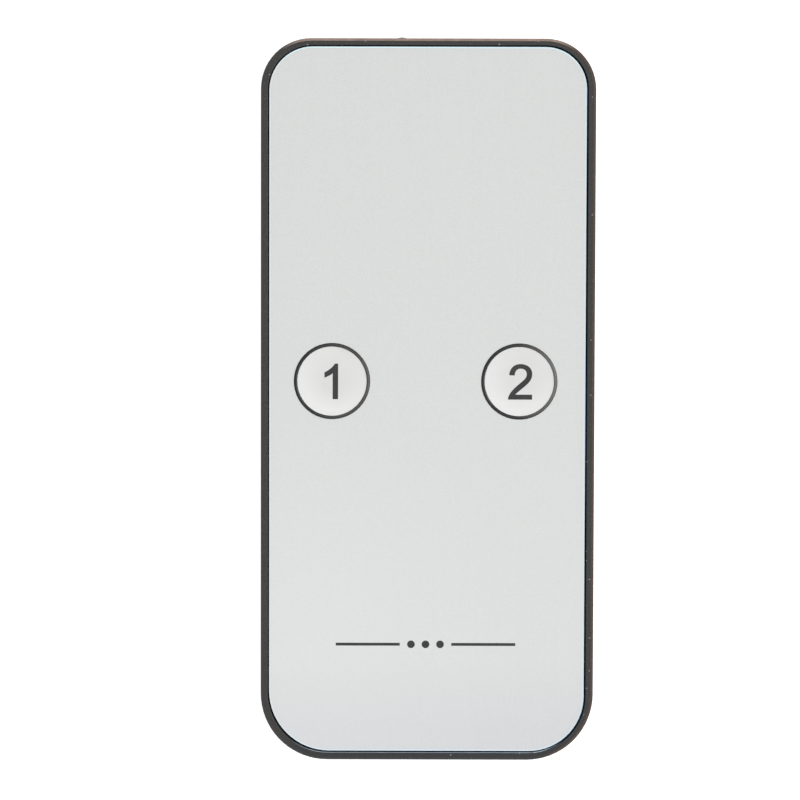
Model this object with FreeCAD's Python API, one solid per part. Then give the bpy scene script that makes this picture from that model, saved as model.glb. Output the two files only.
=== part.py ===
import FreeCAD, Part
import math
import os

# Slim infrared remote control with two keys. All sizes are in millimetres.
# The back lies on z = 0, the keys look up along +Z, the lamp is at the +Y end
# and the battery tray draws out of the -Y end. X runs across the case.

# Case outline, seen from the front
case_width = 40.0
case_length = 86.7
top_corner_radius = 6.0
bottom_corner_radius = 8.0

# How far a cut runs past the face that it opens, and how deep a joined piece laps
overcut = 1.0
lap = 0.1

# Case walls and edges
wall = 1.2
floor_thickness = 1.0
deck_thickness = 0.8
back_edge_radius = 1.6
rim_end_width = 0.89
rim_side_width = 0.91
rim_height = 0.25
rim_bevel = 0.3
rim_inner_radius = 0.1
seam_groove_depth = 0.12
seam_groove_height = 0.16

# Tongue, groove and snaps that close the case
tongue_thickness = 0.55
tongue_height = 0.6
tongue_gap = 0.05
snap_length = 6.0
snap_height = 0.25
snap_depth = 0.2
snap_spacing = 25.0
snap_count = 3
snap_centre_y = 5.0

# Face recess, with a relief channel round its floor, and the film and adhesive sheet in it
face_shift_x = -0.05
face_shift_y = 0.045
recess_low_left_slack = 0.08
recess_low_right_slack = -0.2
recess_high_left_slack = 0.26
relief_width = 0.3
relief_depth = 0.3
film_thickness = 0.25
film_gap = 0.15
film_low_left_slack = 0.29
film_low_right_slack = -0.33
adhesive_thickness = 0.1
adhesive_gap = 0.5

# Keys
key_from_side = 8.78
key_shift_x = -0.25
key_y = 2.38
key_radius = 4.52
key_gap = 0.06
key_lift = 0.05
key_dish = 0.12
bead_width = 0.37
bead_height = 0.12
bead_shoulder = 0.08
key_hole_margin = 0.4
push_disc_margin = 0.2
nub_radius = 1.2
nub_height = 0.05
nub_gap = 0.02

# Snap domes, their retainers and the contact pads
dome_radius = 3.0
dome_height = 0.3
dome_foil = 0.08
retainer_gap = 0.05
retainer_thickness = 0.05
pad_thickness = 0.035
pad_ring_outside = 0.3
pad_ring_inside = 0.4
pad_centre_radius = 1.0

# Circuit board
board_thickness = 1.0
board_inset = 1.5
post_radius = 1.2
post_inset = 3.0
post_end_inset = 5.25
peg_radius = 0.8
peg_gap = 0.1
peg_head_radius = 1.5
peg_head_height = 0.5
peg_from_lamp_end = 17.75
peg_from_battery_end = 8.4

# Infrared lamp
lamp_x = -3.2
lamp_radius = 1.5
lamp_barrel = 2.8
lamp_flange_radius = 1.9
lamp_flange = 1.0
lamp_flange_flat = 1.55
lamp_proud = 0.13
lamp_hole_gap = 0.1
lamp_head_room = 0.2
lamp_leg = 0.5
lamp_leg_spacing = 2.54
lamp_leg_run = 1.1
lamp_leg_rise = 1.0
lamp_leg_lap = 2.5
cradle_width = 5.2
cradle_thickness = 0.8
cradle_gap = 0.05

# Coin cell
cell_diameter = 20.0
cell_thickness = 2.5
cell_step = 0.15
cell_cap_radius = 8.5
cell_cap_depth = 0.3
cell_gasket_width = 0.27
cell_fit = 0.03
cell_edge_radius = 0.4

# Battery tray
tray_gap = 0.05
tray_side_gap = 0.1
tray_end_wall = 1.85
ring_wall = 1.25
cell_gap = 0.15
cell_recess = 0.05
lip_width = 1.25
lip_thickness = 0.3
prong_overrun = 0.75
contact_opening = 13.0
head_depth = 4.75
head_gap = 0.15
nail_groove_width = 10.0
nail_groove_height = 0.8
nail_groove_depth = 0.9
grip_groove_width = 0.6
grip_groove_depth = 0.3
grip_groove_count = 3

# Tray latch
latch_width = 2.2
latch_slot = 1.0
latch_length = 13.25
latch_pivot_gap = 0.05
nose_height = 0.5
nose_flat = 0.8
nose_ramp = 1.4
nose_from_end = 4.85
nose_margin = 0.55
latch_groove_count = 2
latch_groove_depth = 0.25

# Battery bay in the back shell
bay_wall = 1.0
latch_side_wall = 1.6
bay_end_gap = 1.1
nose_channel_gap = 0.1
scoop_radius = 3.2
scoop_side = 1.5
scoop_out = 0.9
hold_down_rib = 0.8
arrow_length = 5.0
arrow_width = 4.0
arrow_depth = 0.25
arrow_from_head = 1.0

# Battery contacts
leaf_thickness = 0.2
leaf_width = 3.5
leaf_gap = 0.05
leaf_lap = 5.5
leaf_reach = 9.0
leaf_flat = 1.3
leaf_tail = 2.2
leaf_tail_rise = 0.45
leaf_set_back = 0.6
finger_width = 2.0
finger_offset = 4.5
finger_gap = 0.08
contact_plate_width = 12.0
contact_plate_bottom = 0.4
contact_tab_lap = 3.5

# Small parts under the board
chip_length = 9.9
chip_width = 3.9
chip_height = 1.5
chip_standoff = 0.1
chip_leg_count = 8
chip_leg_pitch = 1.27
chip_from_lamp_end = 19.75
small_leg = 0.4
small_leg_thickness = 0.2
small_leg_shoulder = 0.4
small_leg_bend = 0.25
small_leg_foot = 0.5
resonator_leg_run = 1.0
resonator_corner_radius = 1.0
resonator_size = (7.0, 5.0, 2.2)
resonator_offset = (-9.5, -8.0)
resonator_leg_spacing = 5.0
transistor_size = (2.9, 1.3, 1.0)
transistor_offset = (-9.5, 10.0)
transistor_leg_pitch = 0.95
resistor_size = (0.8, 1.6, 0.45)
resistor_offset = (3.5, 11.0)
resistor_spacing = 3.5
resistor_count = 3
capacitor_size = (2.0, 1.25, 0.9)
capacitor_offset = (8.0, -10.0)
capacitor_spacing = 5.0
capacitor_count = 2
solder_radius = 0.95
solder_tip_radius = 0.45
solder_height = 0.65

# Levels, from the back face upwards
tray_bottom = floor_thickness + tray_gap
cell_bottom = tray_bottom + cell_recess
cell_top = cell_bottom + cell_thickness
tray_top = cell_top + lip_thickness
parting = tray_top + tray_gap
tongue_top = parting + tongue_height
board_bottom = tongue_top + tongue_gap
board_top = board_bottom + board_thickness
deck_top = board_top + deck_thickness
film_bottom = deck_top + adhesive_thickness
film_top = film_bottom + film_thickness
case_top = film_top + rim_height
key_top = film_top + key_lift
dome_foot = board_top + pad_thickness
dome_top = dome_foot + dome_height
nub_bottom = dome_top + nub_gap
push_disc_bottom = nub_bottom + nub_height

# Places across and along the case
half_width = case_width / 2
half_length = case_length / 2
tongue_outside = wall - tongue_thickness
groove_inside = tongue_outside - tongue_gap
# Corner slacks run low left, low right, high right, high left.
recess_slacks = (recess_low_left_slack, recess_low_right_slack, 0, recess_high_left_slack)
film_slacks = (film_low_left_slack, film_low_right_slack, 0, recess_high_left_slack)
key_reach = half_width - key_from_side
key_places = [(key_shift_x - key_reach, key_y), (key_shift_x + key_reach, key_y)]
key_hole_radius = key_radius + key_hole_margin

pocket_radius = cell_diameter / 2 + cell_gap
tray_width = latch_width + latch_slot + 2 * ring_wall + 2 * pocket_radius
tray_left = -tray_width / 2
tray_right = tray_width / 2
cell_x = tray_right - ring_wall - pocket_radius
cell_y = -half_length + tray_end_wall + pocket_radius
prong_end = cell_y + pocket_radius - cell_gap + prong_overrun
head_inner = -half_length + head_depth
latch_x = tray_left + latch_width / 2
latch_y = -half_length + latch_length
nose_y = -half_length + nose_from_end

bay_left = tray_left - tray_side_gap
bay_right = tray_right + tray_side_gap
bay_end = prong_end + bay_end_gap
scoop_x = bay_left - scoop_side
scoop_y = -half_length - scoop_out
scoop_depth = scoop_radius - scoop_out

board_low = bay_end + bay_wall
board_high = half_length - board_inset
board_side = half_width - board_inset
post_x = board_side - post_inset
lamp_z = board_top - lamp_flange_radius - lamp_head_room
lamp_tip = half_length + lamp_proud
lamp_dome_y = lamp_tip - lamp_radius
lamp_flange_front = lamp_dome_y - lamp_barrel
lamp_back = lamp_flange_front - lamp_flange
cradle_y = lamp_flange_front + lamp_barrel / 2
chip_y = board_high - chip_from_lamp_end


def block(x0, x1, y0, y1, z0, z1):
    return Part.makeBox(x1 - x0, y1 - y0, z1 - z0, FreeCAD.Vector(x0, y0, z0))


def centred_block(x, y, size, z1):
    width, length, height = size
    return block(x - width / 2, x + width / 2, y - length / 2, y + length / 2, z1 - height, z1)


def disc(x, y, radius, z0, z1):
    return Part.makeCylinder(radius, z1 - z0, FreeCAD.Vector(x, y, z0))


def ring(x, y, outer, inner, z0, z1):
    return disc(x, y, outer, z0, z1).cut(disc(x, y, inner, z0, z1))


def bar_along_y(x, z, radius, y0, y1):
    start = FreeCAD.Vector(x, y0, z)
    return Part.makeCylinder(radius, y1 - y0, start, FreeCAD.Vector(0, 1, 0))


def prism(points, z0, z1):
    corners = [FreeCAD.Vector(x, y, z0) for x, y in points]
    wire = Part.makePolygon(corners + corners[:1])
    return Part.Face(wire).extrude(FreeCAD.Vector(0, 0, z1 - z0))


# A plate with four rounded corners. The radii run low left, low right, high right, high left.
def rounded_plate(half_x, y0, y1, radii, z0, z1):
    corners = [(-half_x, y0), (half_x, y0), (half_x, y1), (-half_x, y1)]
    arcs = []
    for turn, ((x, y), radius) in enumerate(zip(corners, radii)):
        centre_x = x - math.copysign(radius, x)
        centre_y = y + radius if turn < 2 else y - radius
        points = []
        for step in range(3):
            angle = math.radians(180 + 90 * turn + 45 * step)
            dx = radius * math.cos(angle)
            dy = radius * math.sin(angle)
            points.append(FreeCAD.Vector(centre_x + dx, centre_y + dy, z0))
        arcs.append(points)
    edges = []
    for points, following in zip(arcs, arcs[1:] + arcs[:1]):
        edges.append(Part.Arc(*points).toShape())
        edges.append(Part.LineSegment(points[2], following[0]).toShape())
    face = Part.Face(Part.Wire(edges))
    return face.extrude(FreeCAD.Vector(0, 0, z1 - z0))


# The case outline drawn in by an inset, between two levels
def case_plate(inset, z0, z1):
    low = bottom_corner_radius - inset
    high = top_corner_radius - inset
    reach = half_length - inset
    return rounded_plate(half_width - inset, -reach, reach, [low, low, high, high], z0, z1)


# The recess in the face drawn in by a gap, between two levels. The slacks widen its corner radii.
def face_plate(gap, z0, z1, slacks=recess_slacks):
    low = bottom_corner_radius - rim_end_width - gap
    high = top_corner_radius - rim_end_width - gap
    radii = [radius + slack for radius, slack in zip((low, low, high, high), slacks)]
    reach = half_length - rim_end_width - gap
    plate = rounded_plate(half_width - rim_side_width - gap, -reach, reach, radii, z0, z1)
    plate.translate(FreeCAD.Vector(face_shift_x, face_shift_y, 0))
    return plate


def edges_at(shape, level):
    return [e for e in shape.Edges if all(abs(v.Z - level) < 1e-6 for v in e.Vertexes)]


def round_edges_at(shape, level, radius):
    return shape.makeFillet(radius, edges_at(shape, level))


# A bent metal strip: a centre line of (distance, level) points in a plane square to X or Y
def strip(points, thickness, low, high, along="y"):
    normals = []
    for (u0, z0), (u1, z1) in zip(points, points[1:]):
        length = math.hypot(u1 - u0, z1 - z0)
        normals.append(((z0 - z1) / length, (u1 - u0) / length))
    upper = []
    lower = []
    for index, (u, z) in enumerate(points):
        nu0, nz0 = normals[max(index - 1, 0)]
        nu1, nz1 = normals[min(index, len(normals) - 1)]
        mitre = (thickness / 2) / (1 + nu0 * nu1 + nz0 * nz1)
        du = (nu0 + nu1) * mitre
        dz = (nz0 + nz1) * mitre
        upper.append((u + du, z + dz))
        lower.append((u - du, z - dz))
    outline = upper + lower[::-1]
    if along == "y":
        corners = [FreeCAD.Vector(low, u, z) for u, z in outline]
        sweep = FreeCAD.Vector(high - low, 0, 0)
    else:
        corners = [FreeCAD.Vector(u, low, z) for u, z in outline]
        sweep = FreeCAD.Vector(0, high - low, 0)
    return Part.Face(Part.makePolygon(corners + corners[:1])).extrude(sweep)


# The outer form of the closed case, which the shells, tray and latch are all cut from
def make_envelope():
    form = case_plate(0, 0, case_top)
    form = round_edges_at(form, 0, back_edge_radius)
    return form.makeChamfer(rim_bevel, edges_at(form, case_top))


def seam_groove():
    low = parting - seam_groove_height / 2
    high = parting + seam_groove_height / 2
    return case_plate(-overcut, low, high).cut(case_plate(seam_groove_depth, low, high))


def lamp_hole():
    radius = lamp_radius + lamp_hole_gap
    return bar_along_y(lamp_x, lamp_z, radius, half_length - wall - lap, lamp_tip + overcut)


def snap_blocks(outer_inset, inner_inset, clearance):
    blocks = []
    middle = parting + tongue_height / 2
    high = snap_height / 2 + clearance
    for index in range(snap_count):
        y = snap_centre_y + (index - (snap_count - 1) / 2) * snap_spacing
        reach = snap_length / 2 + clearance
        for side in (-1, 1):
            x0, x1 = sorted((side * (half_width - outer_inset), side * (half_width - inner_inset)))
            blocks.append(block(x0, x1, y - reach, y + reach, middle - high, middle + high))
    return blocks


# The room inside the case walls, which walls and posts of the back shell may fill
def shell_room():
    return case_plate(wall / 2, floor_thickness, parting)


def post_places():
    corners = [(x, y) for x in (-post_x, post_x)
               for y in (board_low + post_inset, board_high - post_end_inset)]
    return corners + key_places


def peg_places():
    return [(x, y) for x in (-post_x, post_x)
            for y in (board_low + peg_from_battery_end, board_high - peg_from_lamp_end)]


def make_back_shell(envelope):
    lower_half = block(-case_width, case_width, -case_length, case_length, -overcut, parting)
    shell = envelope.common(lower_half)
    shell = shell.cut(case_plate(wall, floor_thickness, parting + overcut))

    tongue = case_plate(tongue_outside, parting - wall, tongue_top)
    tongue = tongue.cut(case_plate(wall, parting - wall - overcut, tongue_top + overcut))
    inner_end = -half_length + wall
    added = [
        tongue,
        block(bay_left - latch_side_wall, bay_left, inner_end, board_low, floor_thickness, parting),
        block(bay_right, bay_right + bay_wall, inner_end, board_low, floor_thickness, parting),
        block(bay_left, bay_right, bay_end, board_low, floor_thickness, parting),
        disc(scoop_x, scoop_y, scoop_radius + bay_wall, floor_thickness, parting).common(shell_room()),
        block(lamp_x - cradle_width / 2, lamp_x + cradle_width / 2, cradle_y - cradle_thickness / 2,
              cradle_y + cradle_thickness / 2, floor_thickness, lamp_z),
    ]
    added += snap_blocks(tongue_outside - snap_depth, tongue_outside, 0)
    for x, y in post_places():
        added.append(disc(x, y, post_radius, floor_thickness, board_bottom))
    shell = shell.fuse(added)

    mouth_out = -half_length - overcut
    channel_left = tray_left - nose_height - nose_channel_gap
    channel_end = nose_y + nose_flat + nose_ramp + head_gap
    hole_radius = lamp_radius + lamp_hole_gap
    above = tongue_top + overcut
    removed = [
        block(bay_left, bay_right, mouth_out, bay_end, floor_thickness, above),
        block(bay_left, bay_right, mouth_out, head_inner + head_gap, -overcut, floor_thickness),
        block(channel_left, bay_left, mouth_out, channel_end, floor_thickness, above),
        disc(scoop_x, scoop_y, scoop_radius, -overcut, above),
        lamp_hole(),
        block(lamp_x - hole_radius, lamp_x + hole_radius, half_length - wall - overcut,
              half_length + overcut, lamp_z, above),
        bar_along_y(lamp_x, lamp_z, lamp_radius + cradle_gap, lamp_back, lamp_dome_y),
        draw_arrow(),
        seam_groove(),
    ]
    return shell.cut(removed).removeSplitter()


# An arrow sunk in the back, which points the way that the tray draws out
def draw_arrow():
    tip = head_inner + head_gap + arrow_from_head
    neck = tip + arrow_length / 2
    tail = tip + arrow_length
    half = arrow_width / 2
    points = [
        (cell_x, tip), (cell_x + half, neck), (cell_x + half / 3, neck), (cell_x + half / 3, tail),
        (cell_x - half / 3, tail), (cell_x - half / 3, neck), (cell_x - half, neck),
    ]
    return prism(points, -overcut, arrow_depth)


def make_front_shell(envelope):
    upper_half = block(-case_width, case_width, -case_length, case_length, parting, case_top + overcut)
    shell = envelope.common(upper_half)
    recess = face_plate(0, deck_top, case_top + overcut)
    relief = face_plate(0, deck_top - relief_depth, deck_top)
    relief = relief.cut(face_plate(relief_width, deck_top - relief_depth, deck_top))
    groove = case_plate(groove_inside, parting - overcut, board_bottom)
    inside = case_plate(wall, parting - overcut, board_top)
    removed = [recess, relief, groove, inside, lamp_hole(), seam_groove()]
    removed += snap_blocks(groove_inside - snap_depth, groove_inside + tongue_gap, tongue_gap)
    for x, y in key_places:
        removed.append(disc(x, y, key_hole_radius, board_top - overcut, deck_top + overcut))
    shell = shell.cut(removed)
    shell = round_inner_rim(shell)

    added = []
    for x, y in peg_places():
        added.append(disc(x, y, peg_radius, board_bottom, board_top))
        added.append(disc(x, y, peg_head_radius, board_bottom - peg_head_height, board_bottom))
    inner_end = -half_length + wall
    for edge in (tray_left, tray_right - hold_down_rib):
        added.append(block(edge, edge + hold_down_rib, inner_end, bay_end, parting, board_top))
    return shell.fuse(added).removeSplitter()


# The edges of the recess lie inside a line drawn half-way across the flat of the rim
def round_inner_rim(shell):
    reach_x = half_width - (rim_side_width + rim_bevel) / 2
    reach_y = half_length - (rim_end_width + rim_bevel) / 2
    inner = []
    for edge in edges_at(shell, case_top):
        box = edge.BoundBox
        if max(-box.XMin, box.XMax) < reach_x and max(-box.YMin, box.YMax) < reach_y:
            inner.append(edge)
    return shell.makeFillet(rim_inner_radius, inner)


def make_face_film():
    film = face_plate(film_gap, film_bottom, film_top, film_slacks)
    low_cut = film_bottom - overcut
    high_cut = film_top + overcut
    holes = [disc(x, y, key_radius + key_gap, low_cut, high_cut) for x, y in key_places]
    return film.cut(holes)


def make_film_adhesive():
    sheet = face_plate(adhesive_gap, deck_top, film_bottom)
    low_cut = deck_top - overcut
    high_cut = film_bottom + overcut
    holes = [disc(x, y, key_hole_radius, low_cut, high_cut) for x, y in key_places]
    return sheet.cut(holes)


# The pressed part of the film: a slightly dished disc with a rounded bead round its edge
def make_key_film(x, y):
    bead_inner = key_radius - bead_width
    bead_middle = key_radius - bead_width / 2
    shoulder = key_top - bead_shoulder
    base = FreeCAD.Vector(x, y, film_bottom)
    rim_foot = FreeCAD.Vector(x + key_radius, y, film_bottom)
    rim_top = FreeCAD.Vector(x + key_radius, y, shoulder)
    crest = FreeCAD.Vector(x + bead_middle, y, key_top + bead_height)
    inner_foot = FreeCAD.Vector(x + bead_inner, y, key_top)
    ball_radius = (bead_inner ** 2 + key_dish ** 2) / (2 * key_dish)
    half_way = bead_inner / 2
    half_way_rise = ball_radius - math.sqrt(ball_radius ** 2 - half_way ** 2)
    centre = FreeCAD.Vector(x, y, key_top - key_dish)
    dish = FreeCAD.Vector(x + half_way, y, key_top - key_dish + half_way_rise)
    edges = [
        Part.LineSegment(base, rim_foot).toShape(),
        Part.LineSegment(rim_foot, rim_top).toShape(),
        Part.Arc(rim_top, crest, inner_foot).toShape(),
        Part.Arc(inner_foot, dish, centre).toShape(),
        Part.LineSegment(centre, base).toShape(),
    ]
    return Part.Face(Part.Wire(edges)).revolve(base, FreeCAD.Vector(0, 0, 1), 360)


def make_push_disc(x, y):
    plate = disc(x, y, key_radius - push_disc_margin, push_disc_bottom, film_bottom)
    return plate.fuse(disc(x, y, nub_radius, nub_bottom, push_disc_bottom)).removeSplitter()


def make_snap_dome(x, y):
    ball_radius = (dome_radius ** 2 + dome_height ** 2) / (2 * dome_height)
    centre = FreeCAD.Vector(x, y, dome_top - ball_radius)
    foil = Part.makeSphere(ball_radius, centre).cut(Part.makeSphere(ball_radius - dome_foil, centre))
    return foil.common(disc(x, y, dome_radius + overcut, dome_foot, dome_top + overcut))


def make_dome_retainer(x, y):
    return ring(x, y, key_radius, dome_radius + retainer_gap, dome_foot, dome_foot + retainer_thickness)


def make_key_contacts():
    pads = []
    for x, y in key_places:
        outer = dome_radius + pad_ring_outside
        pads.append(ring(x, y, outer, dome_radius - pad_ring_inside, board_top, dome_foot))
        pads.append(disc(x, y, pad_centre_radius, board_top, dome_foot))
    return Part.makeCompound(pads)


def make_circuit_board():
    board = case_plate(board_inset, board_bottom, board_top)
    kept = block(-case_width, case_width, board_low, case_length, board_bottom, board_top)
    board = board.common(kept)
    notch = lamp_flange_radius + lamp_head_room
    removed = [block(lamp_x - notch, lamp_x + notch, lamp_back - lamp_head_room, case_length,
                     board_bottom - overcut, board_top + overcut)]
    for x, y in peg_places():
        hole_radius = peg_radius + peg_gap
        removed.append(disc(x, y, hole_radius, board_bottom - overcut, board_top + overcut))
    return board.cut(removed)


def make_encoder_chip():
    size = (chip_width, chip_length, chip_height)
    return centred_block(0, chip_y, size, board_bottom - chip_standoff)


# One gull-wing leg, from a body's side out and up to the underside of the board
def gull_leg(start, side, across, body_middle, along):
    foot = board_bottom - small_leg_thickness / 2
    shoulder = start + side * small_leg_shoulder
    bend = shoulder + side * small_leg_bend
    path = [(start, body_middle), (shoulder, body_middle), (bend, foot),
            (bend + side * small_leg_foot, foot)]
    low = across - small_leg / 2
    return strip(path, small_leg_thickness, low, low + small_leg, along)


def make_chip_legs():
    middle = board_bottom - chip_standoff - chip_height / 2
    legs = []
    for side in (-1, 1):
        for index in range(chip_leg_count):
            y = chip_y + (index - (chip_leg_count - 1) / 2) * chip_leg_pitch
            legs.append(gull_leg(side * chip_width / 2, side, y, middle, "x"))
    return Part.makeCompound(legs)


def resonator_place():
    return resonator_offset[0], chip_y + resonator_offset[1]


def make_resonator():
    x, y = resonator_place()
    body = centred_block(x, y, resonator_size, board_bottom - small_leg_thickness)
    upright = [e for e in body.Edges if abs(e.tangentAt(e.FirstParameter).z) > 0.9]
    return body.makeFillet(resonator_corner_radius, upright)


def make_resonator_legs():
    x, y = resonator_place()
    legs = []
    for side in (-1, 1):
        middle = x + side * resonator_leg_spacing / 2
        legs.append(block(middle - small_leg / 2, middle + small_leg / 2, y - resonator_size[1] / 2,
                          y + resonator_size[1] / 2 + resonator_leg_run,
                          board_bottom - small_leg_thickness, board_bottom))
    return Part.makeCompound(legs)


def transistor_place():
    return transistor_offset[0], chip_y + transistor_offset[1]


def make_drive_transistor():
    x, y = transistor_place()
    return centred_block(x, y, transistor_size, board_bottom - chip_standoff)


def make_transistor_legs():
    x, y = transistor_place()
    middle = board_bottom - chip_standoff - transistor_size[2] / 2
    half = transistor_size[1] / 2
    legs = [gull_leg(y + half, 1, x, middle, "y")]
    for side in (-1, 1):
        legs.append(gull_leg(y - half, -1, x + side * transistor_leg_pitch, middle, "y"))
    return Part.makeCompound(legs)


def row_of_blocks(size, offset, spacing, count):
    y = chip_y + offset[1]
    return Part.makeCompound(
        [centred_block(offset[0] + index * spacing, y, size, board_bottom) for index in range(count)])


def make_lamp_lens():
    barrel = bar_along_y(lamp_x, lamp_z, lamp_radius, lamp_flange_front, lamp_dome_y)
    dome = Part.makeSphere(lamp_radius, FreeCAD.Vector(lamp_x, lamp_dome_y, lamp_z))
    flange = bar_along_y(lamp_x, lamp_z, lamp_flange_radius, lamp_back, lamp_flange_front)
    flat = block(lamp_x + lamp_flange_flat, lamp_x + lamp_flange_radius + overcut, lamp_back - overcut,
                 lamp_flange_front + overcut, 0, board_top)
    return barrel.fuse([dome, flange.cut(flat)]).removeSplitter()


def lamp_leg_places():
    return [lamp_x - lamp_leg_spacing / 2, lamp_x + lamp_leg_spacing / 2]


def lamp_leg_end():
    return lamp_back - lamp_leg_run - lamp_leg_rise - lamp_leg_lap


def make_lamp_legs():
    under_board = board_bottom - lamp_leg / 2
    path = [(lamp_back, lamp_z), (lamp_back - lamp_leg_run, lamp_z),
            (lamp_back - lamp_leg_run - lamp_leg_rise, under_board), (lamp_leg_end(), under_board)]
    legs = [strip(path, lamp_leg, x - lamp_leg / 2, x + lamp_leg / 2) for x in lamp_leg_places()]
    return Part.makeCompound(legs)


# The minus leaf is soldered under the board and dips onto the middle of the cell
def make_negative_contact():
    under_board = board_bottom - leaf_thickness / 2
    on_cell = cell_top + leaf_gap + leaf_thickness / 2
    start = board_low - leaf_set_back
    touch = start - leaf_reach
    path = [(board_low + leaf_lap, under_board), (start, under_board), (touch, on_cell),
            (touch - leaf_flat, on_cell), (touch - leaf_flat - leaf_tail, on_cell + leaf_tail_rise)]
    return strip(path, leaf_thickness, cell_x - leaf_width / 2, cell_x + leaf_width / 2)


# The plus contact stands in front of the cell: a plate with two sprung fingers and two solder tabs
def make_positive_contact():
    plate_y = bay_end - leaf_set_back
    inner_offset = finger_offset - finger_width / 2
    edge_of_cell = cell_y + math.sqrt((cell_diameter / 2) ** 2 - inner_offset ** 2)
    touch = edge_of_cell + finger_gap + leaf_thickness / 2
    middle = (cell_bottom + cell_top) / 2
    quarter = cell_thickness / 4
    low = floor_thickness + contact_plate_bottom
    pieces = [block(cell_x - contact_plate_width / 2, cell_x + contact_plate_width / 2,
                    plate_y - leaf_thickness / 2, plate_y + leaf_thickness / 2, low, tray_top)]
    for side in (-1, 1):
        finger_x = cell_x + side * finger_offset
        path = [(plate_y, middle + 2 * quarter), (touch, middle + quarter / 2),
                (touch, middle - quarter / 2), (plate_y - leaf_thickness, middle - 2 * quarter)]
        pieces.append(strip(path, leaf_thickness, finger_x - finger_width / 2, finger_x + finger_width / 2))
        tab_x = contact_tab_x(side)
        tab_top = board_bottom - leaf_thickness / 2
        path = [(plate_y, low + leaf_thickness), (plate_y, tab_top), (board_low + contact_tab_lap, tab_top)]
        pieces.append(strip(path, leaf_thickness, tab_x - finger_width / 2, tab_x + finger_width / 2))
    return pieces[0].fuse(pieces[1:]).removeSplitter()


def contact_tab_x(side):
    return cell_x + side * (contact_plate_width / 2 - finger_width / 2)


def make_solder_joints(metal):
    places = [(x, lamp_leg_end() + solder_radius) for x in lamp_leg_places()]
    places += [(contact_tab_x(side), board_low + contact_tab_lap - solder_radius) for side in (-1, 1)]
    places.append((cell_x, board_low + leaf_lap - solder_radius))
    joints = []
    for x, y in places:
        low = FreeCAD.Vector(x, y, board_bottom - solder_height)
        joints.append(Part.makeCone(solder_tip_radius, solder_radius, solder_height, low).cut(metal))
    return Part.makeCompound(joints)


def make_battery_tray(envelope):
    mouth = -half_length - overcut
    carrier = block(tray_left, tray_right, mouth, prong_end, tray_bottom, tray_top)
    head = block(tray_left, tray_right, mouth, head_inner, 0, tray_top)
    tray = carrier.fuse(head).common(envelope)
    slot_side = tray_left + latch_width + latch_slot
    opening = contact_opening / 2
    socket = latch_width / 2 + latch_pivot_gap
    nail_z = (floor_thickness + tray_top) / 2
    above = tray_top + overcut
    removed = [
        disc(cell_x, cell_y, pocket_radius, floor_thickness, cell_top),
        disc(cell_x, cell_y, pocket_radius - lip_width, cell_top, above),
        block(cell_x - opening, cell_x + opening, cell_y, prong_end + overcut, 0, above),
        block(tray_left - overcut, slot_side, mouth, latch_y, -overcut, above),
        disc(latch_x, latch_y, socket, -overcut, above),
        block(cell_x - nail_groove_width / 2, cell_x + nail_groove_width / 2, mouth,
              -half_length + nail_groove_depth, nail_z - nail_groove_height / 2,
              nail_z + nail_groove_height / 2),
    ]
    pitch = (head_depth - back_edge_radius) / (grip_groove_count + 1)
    for index in range(grip_groove_count):
        y = head_inner - pitch * (index + 1)
        removed.append(block(cell_x - nail_groove_width / 2, cell_x + nail_groove_width / 2,
                             y - grip_groove_width / 2, y + grip_groove_width / 2, -overcut,
                             grip_groove_depth))
    return tray.cut(removed).removeSplitter()


# The springy arm at the side of the tray, squeezed inwards to free its nose
def make_tray_latch(envelope):
    mouth = -half_length - overcut
    inner_side = tray_left + latch_width
    arm = block(tray_left, inner_side, mouth, latch_y, tray_bottom, tray_top)
    tip = block(tray_left, inner_side, mouth, head_inner, 0, tray_top)
    root = disc(latch_x, latch_y, latch_width / 2, tray_bottom, tray_top)
    nose_outline = [
        (tray_left + lap, nose_y), (tray_left - nose_height, nose_y),
        (tray_left - nose_height, nose_y + nose_flat),
        (tray_left, nose_y + nose_flat + nose_ramp), (tray_left + lap, nose_y + nose_flat + nose_ramp),
    ]
    nose = prism(nose_outline, tray_bottom + nose_margin, tray_top - nose_margin)
    latch = arm.fuse([tip, root, nose]).common(envelope)
    grooves = []
    pitch = scoop_depth / (latch_groove_count + 1)
    for index in range(latch_groove_count):
        y = -half_length + pitch * (index + 1)
        grooves.append(block(tray_left - overcut, tray_left + latch_groove_depth, y - pitch / 4,
                             y + pitch / 4, -overcut, tray_top + overcut))
    return latch.cut(grooves).removeSplitter()


def make_cell():
    shoulder = cell_top - cell_step
    recess_bottom = cell_top - cell_cap_depth - cell_step
    gasket_inner = cell_cap_radius + cell_fit
    gasket_outer = gasket_inner + cell_gasket_width
    can = disc(cell_x, cell_y, cell_diameter / 2, cell_bottom, shoulder)
    can = round_edges_at(can, cell_bottom, cell_edge_radius)
    can = round_edges_at(can, shoulder, cell_edge_radius)
    can = can.cut(disc(cell_x, cell_y, gasket_outer + cell_fit, recess_bottom, shoulder + overcut))
    gasket = ring(cell_x, cell_y, gasket_outer, gasket_inner, recess_bottom, shoulder)
    cap = disc(cell_x, cell_y, cell_cap_radius, recess_bottom, cell_top)
    cap = round_edges_at(cap, cell_top, cell_cap_depth / 2)
    return can, gasket, cap


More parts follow.
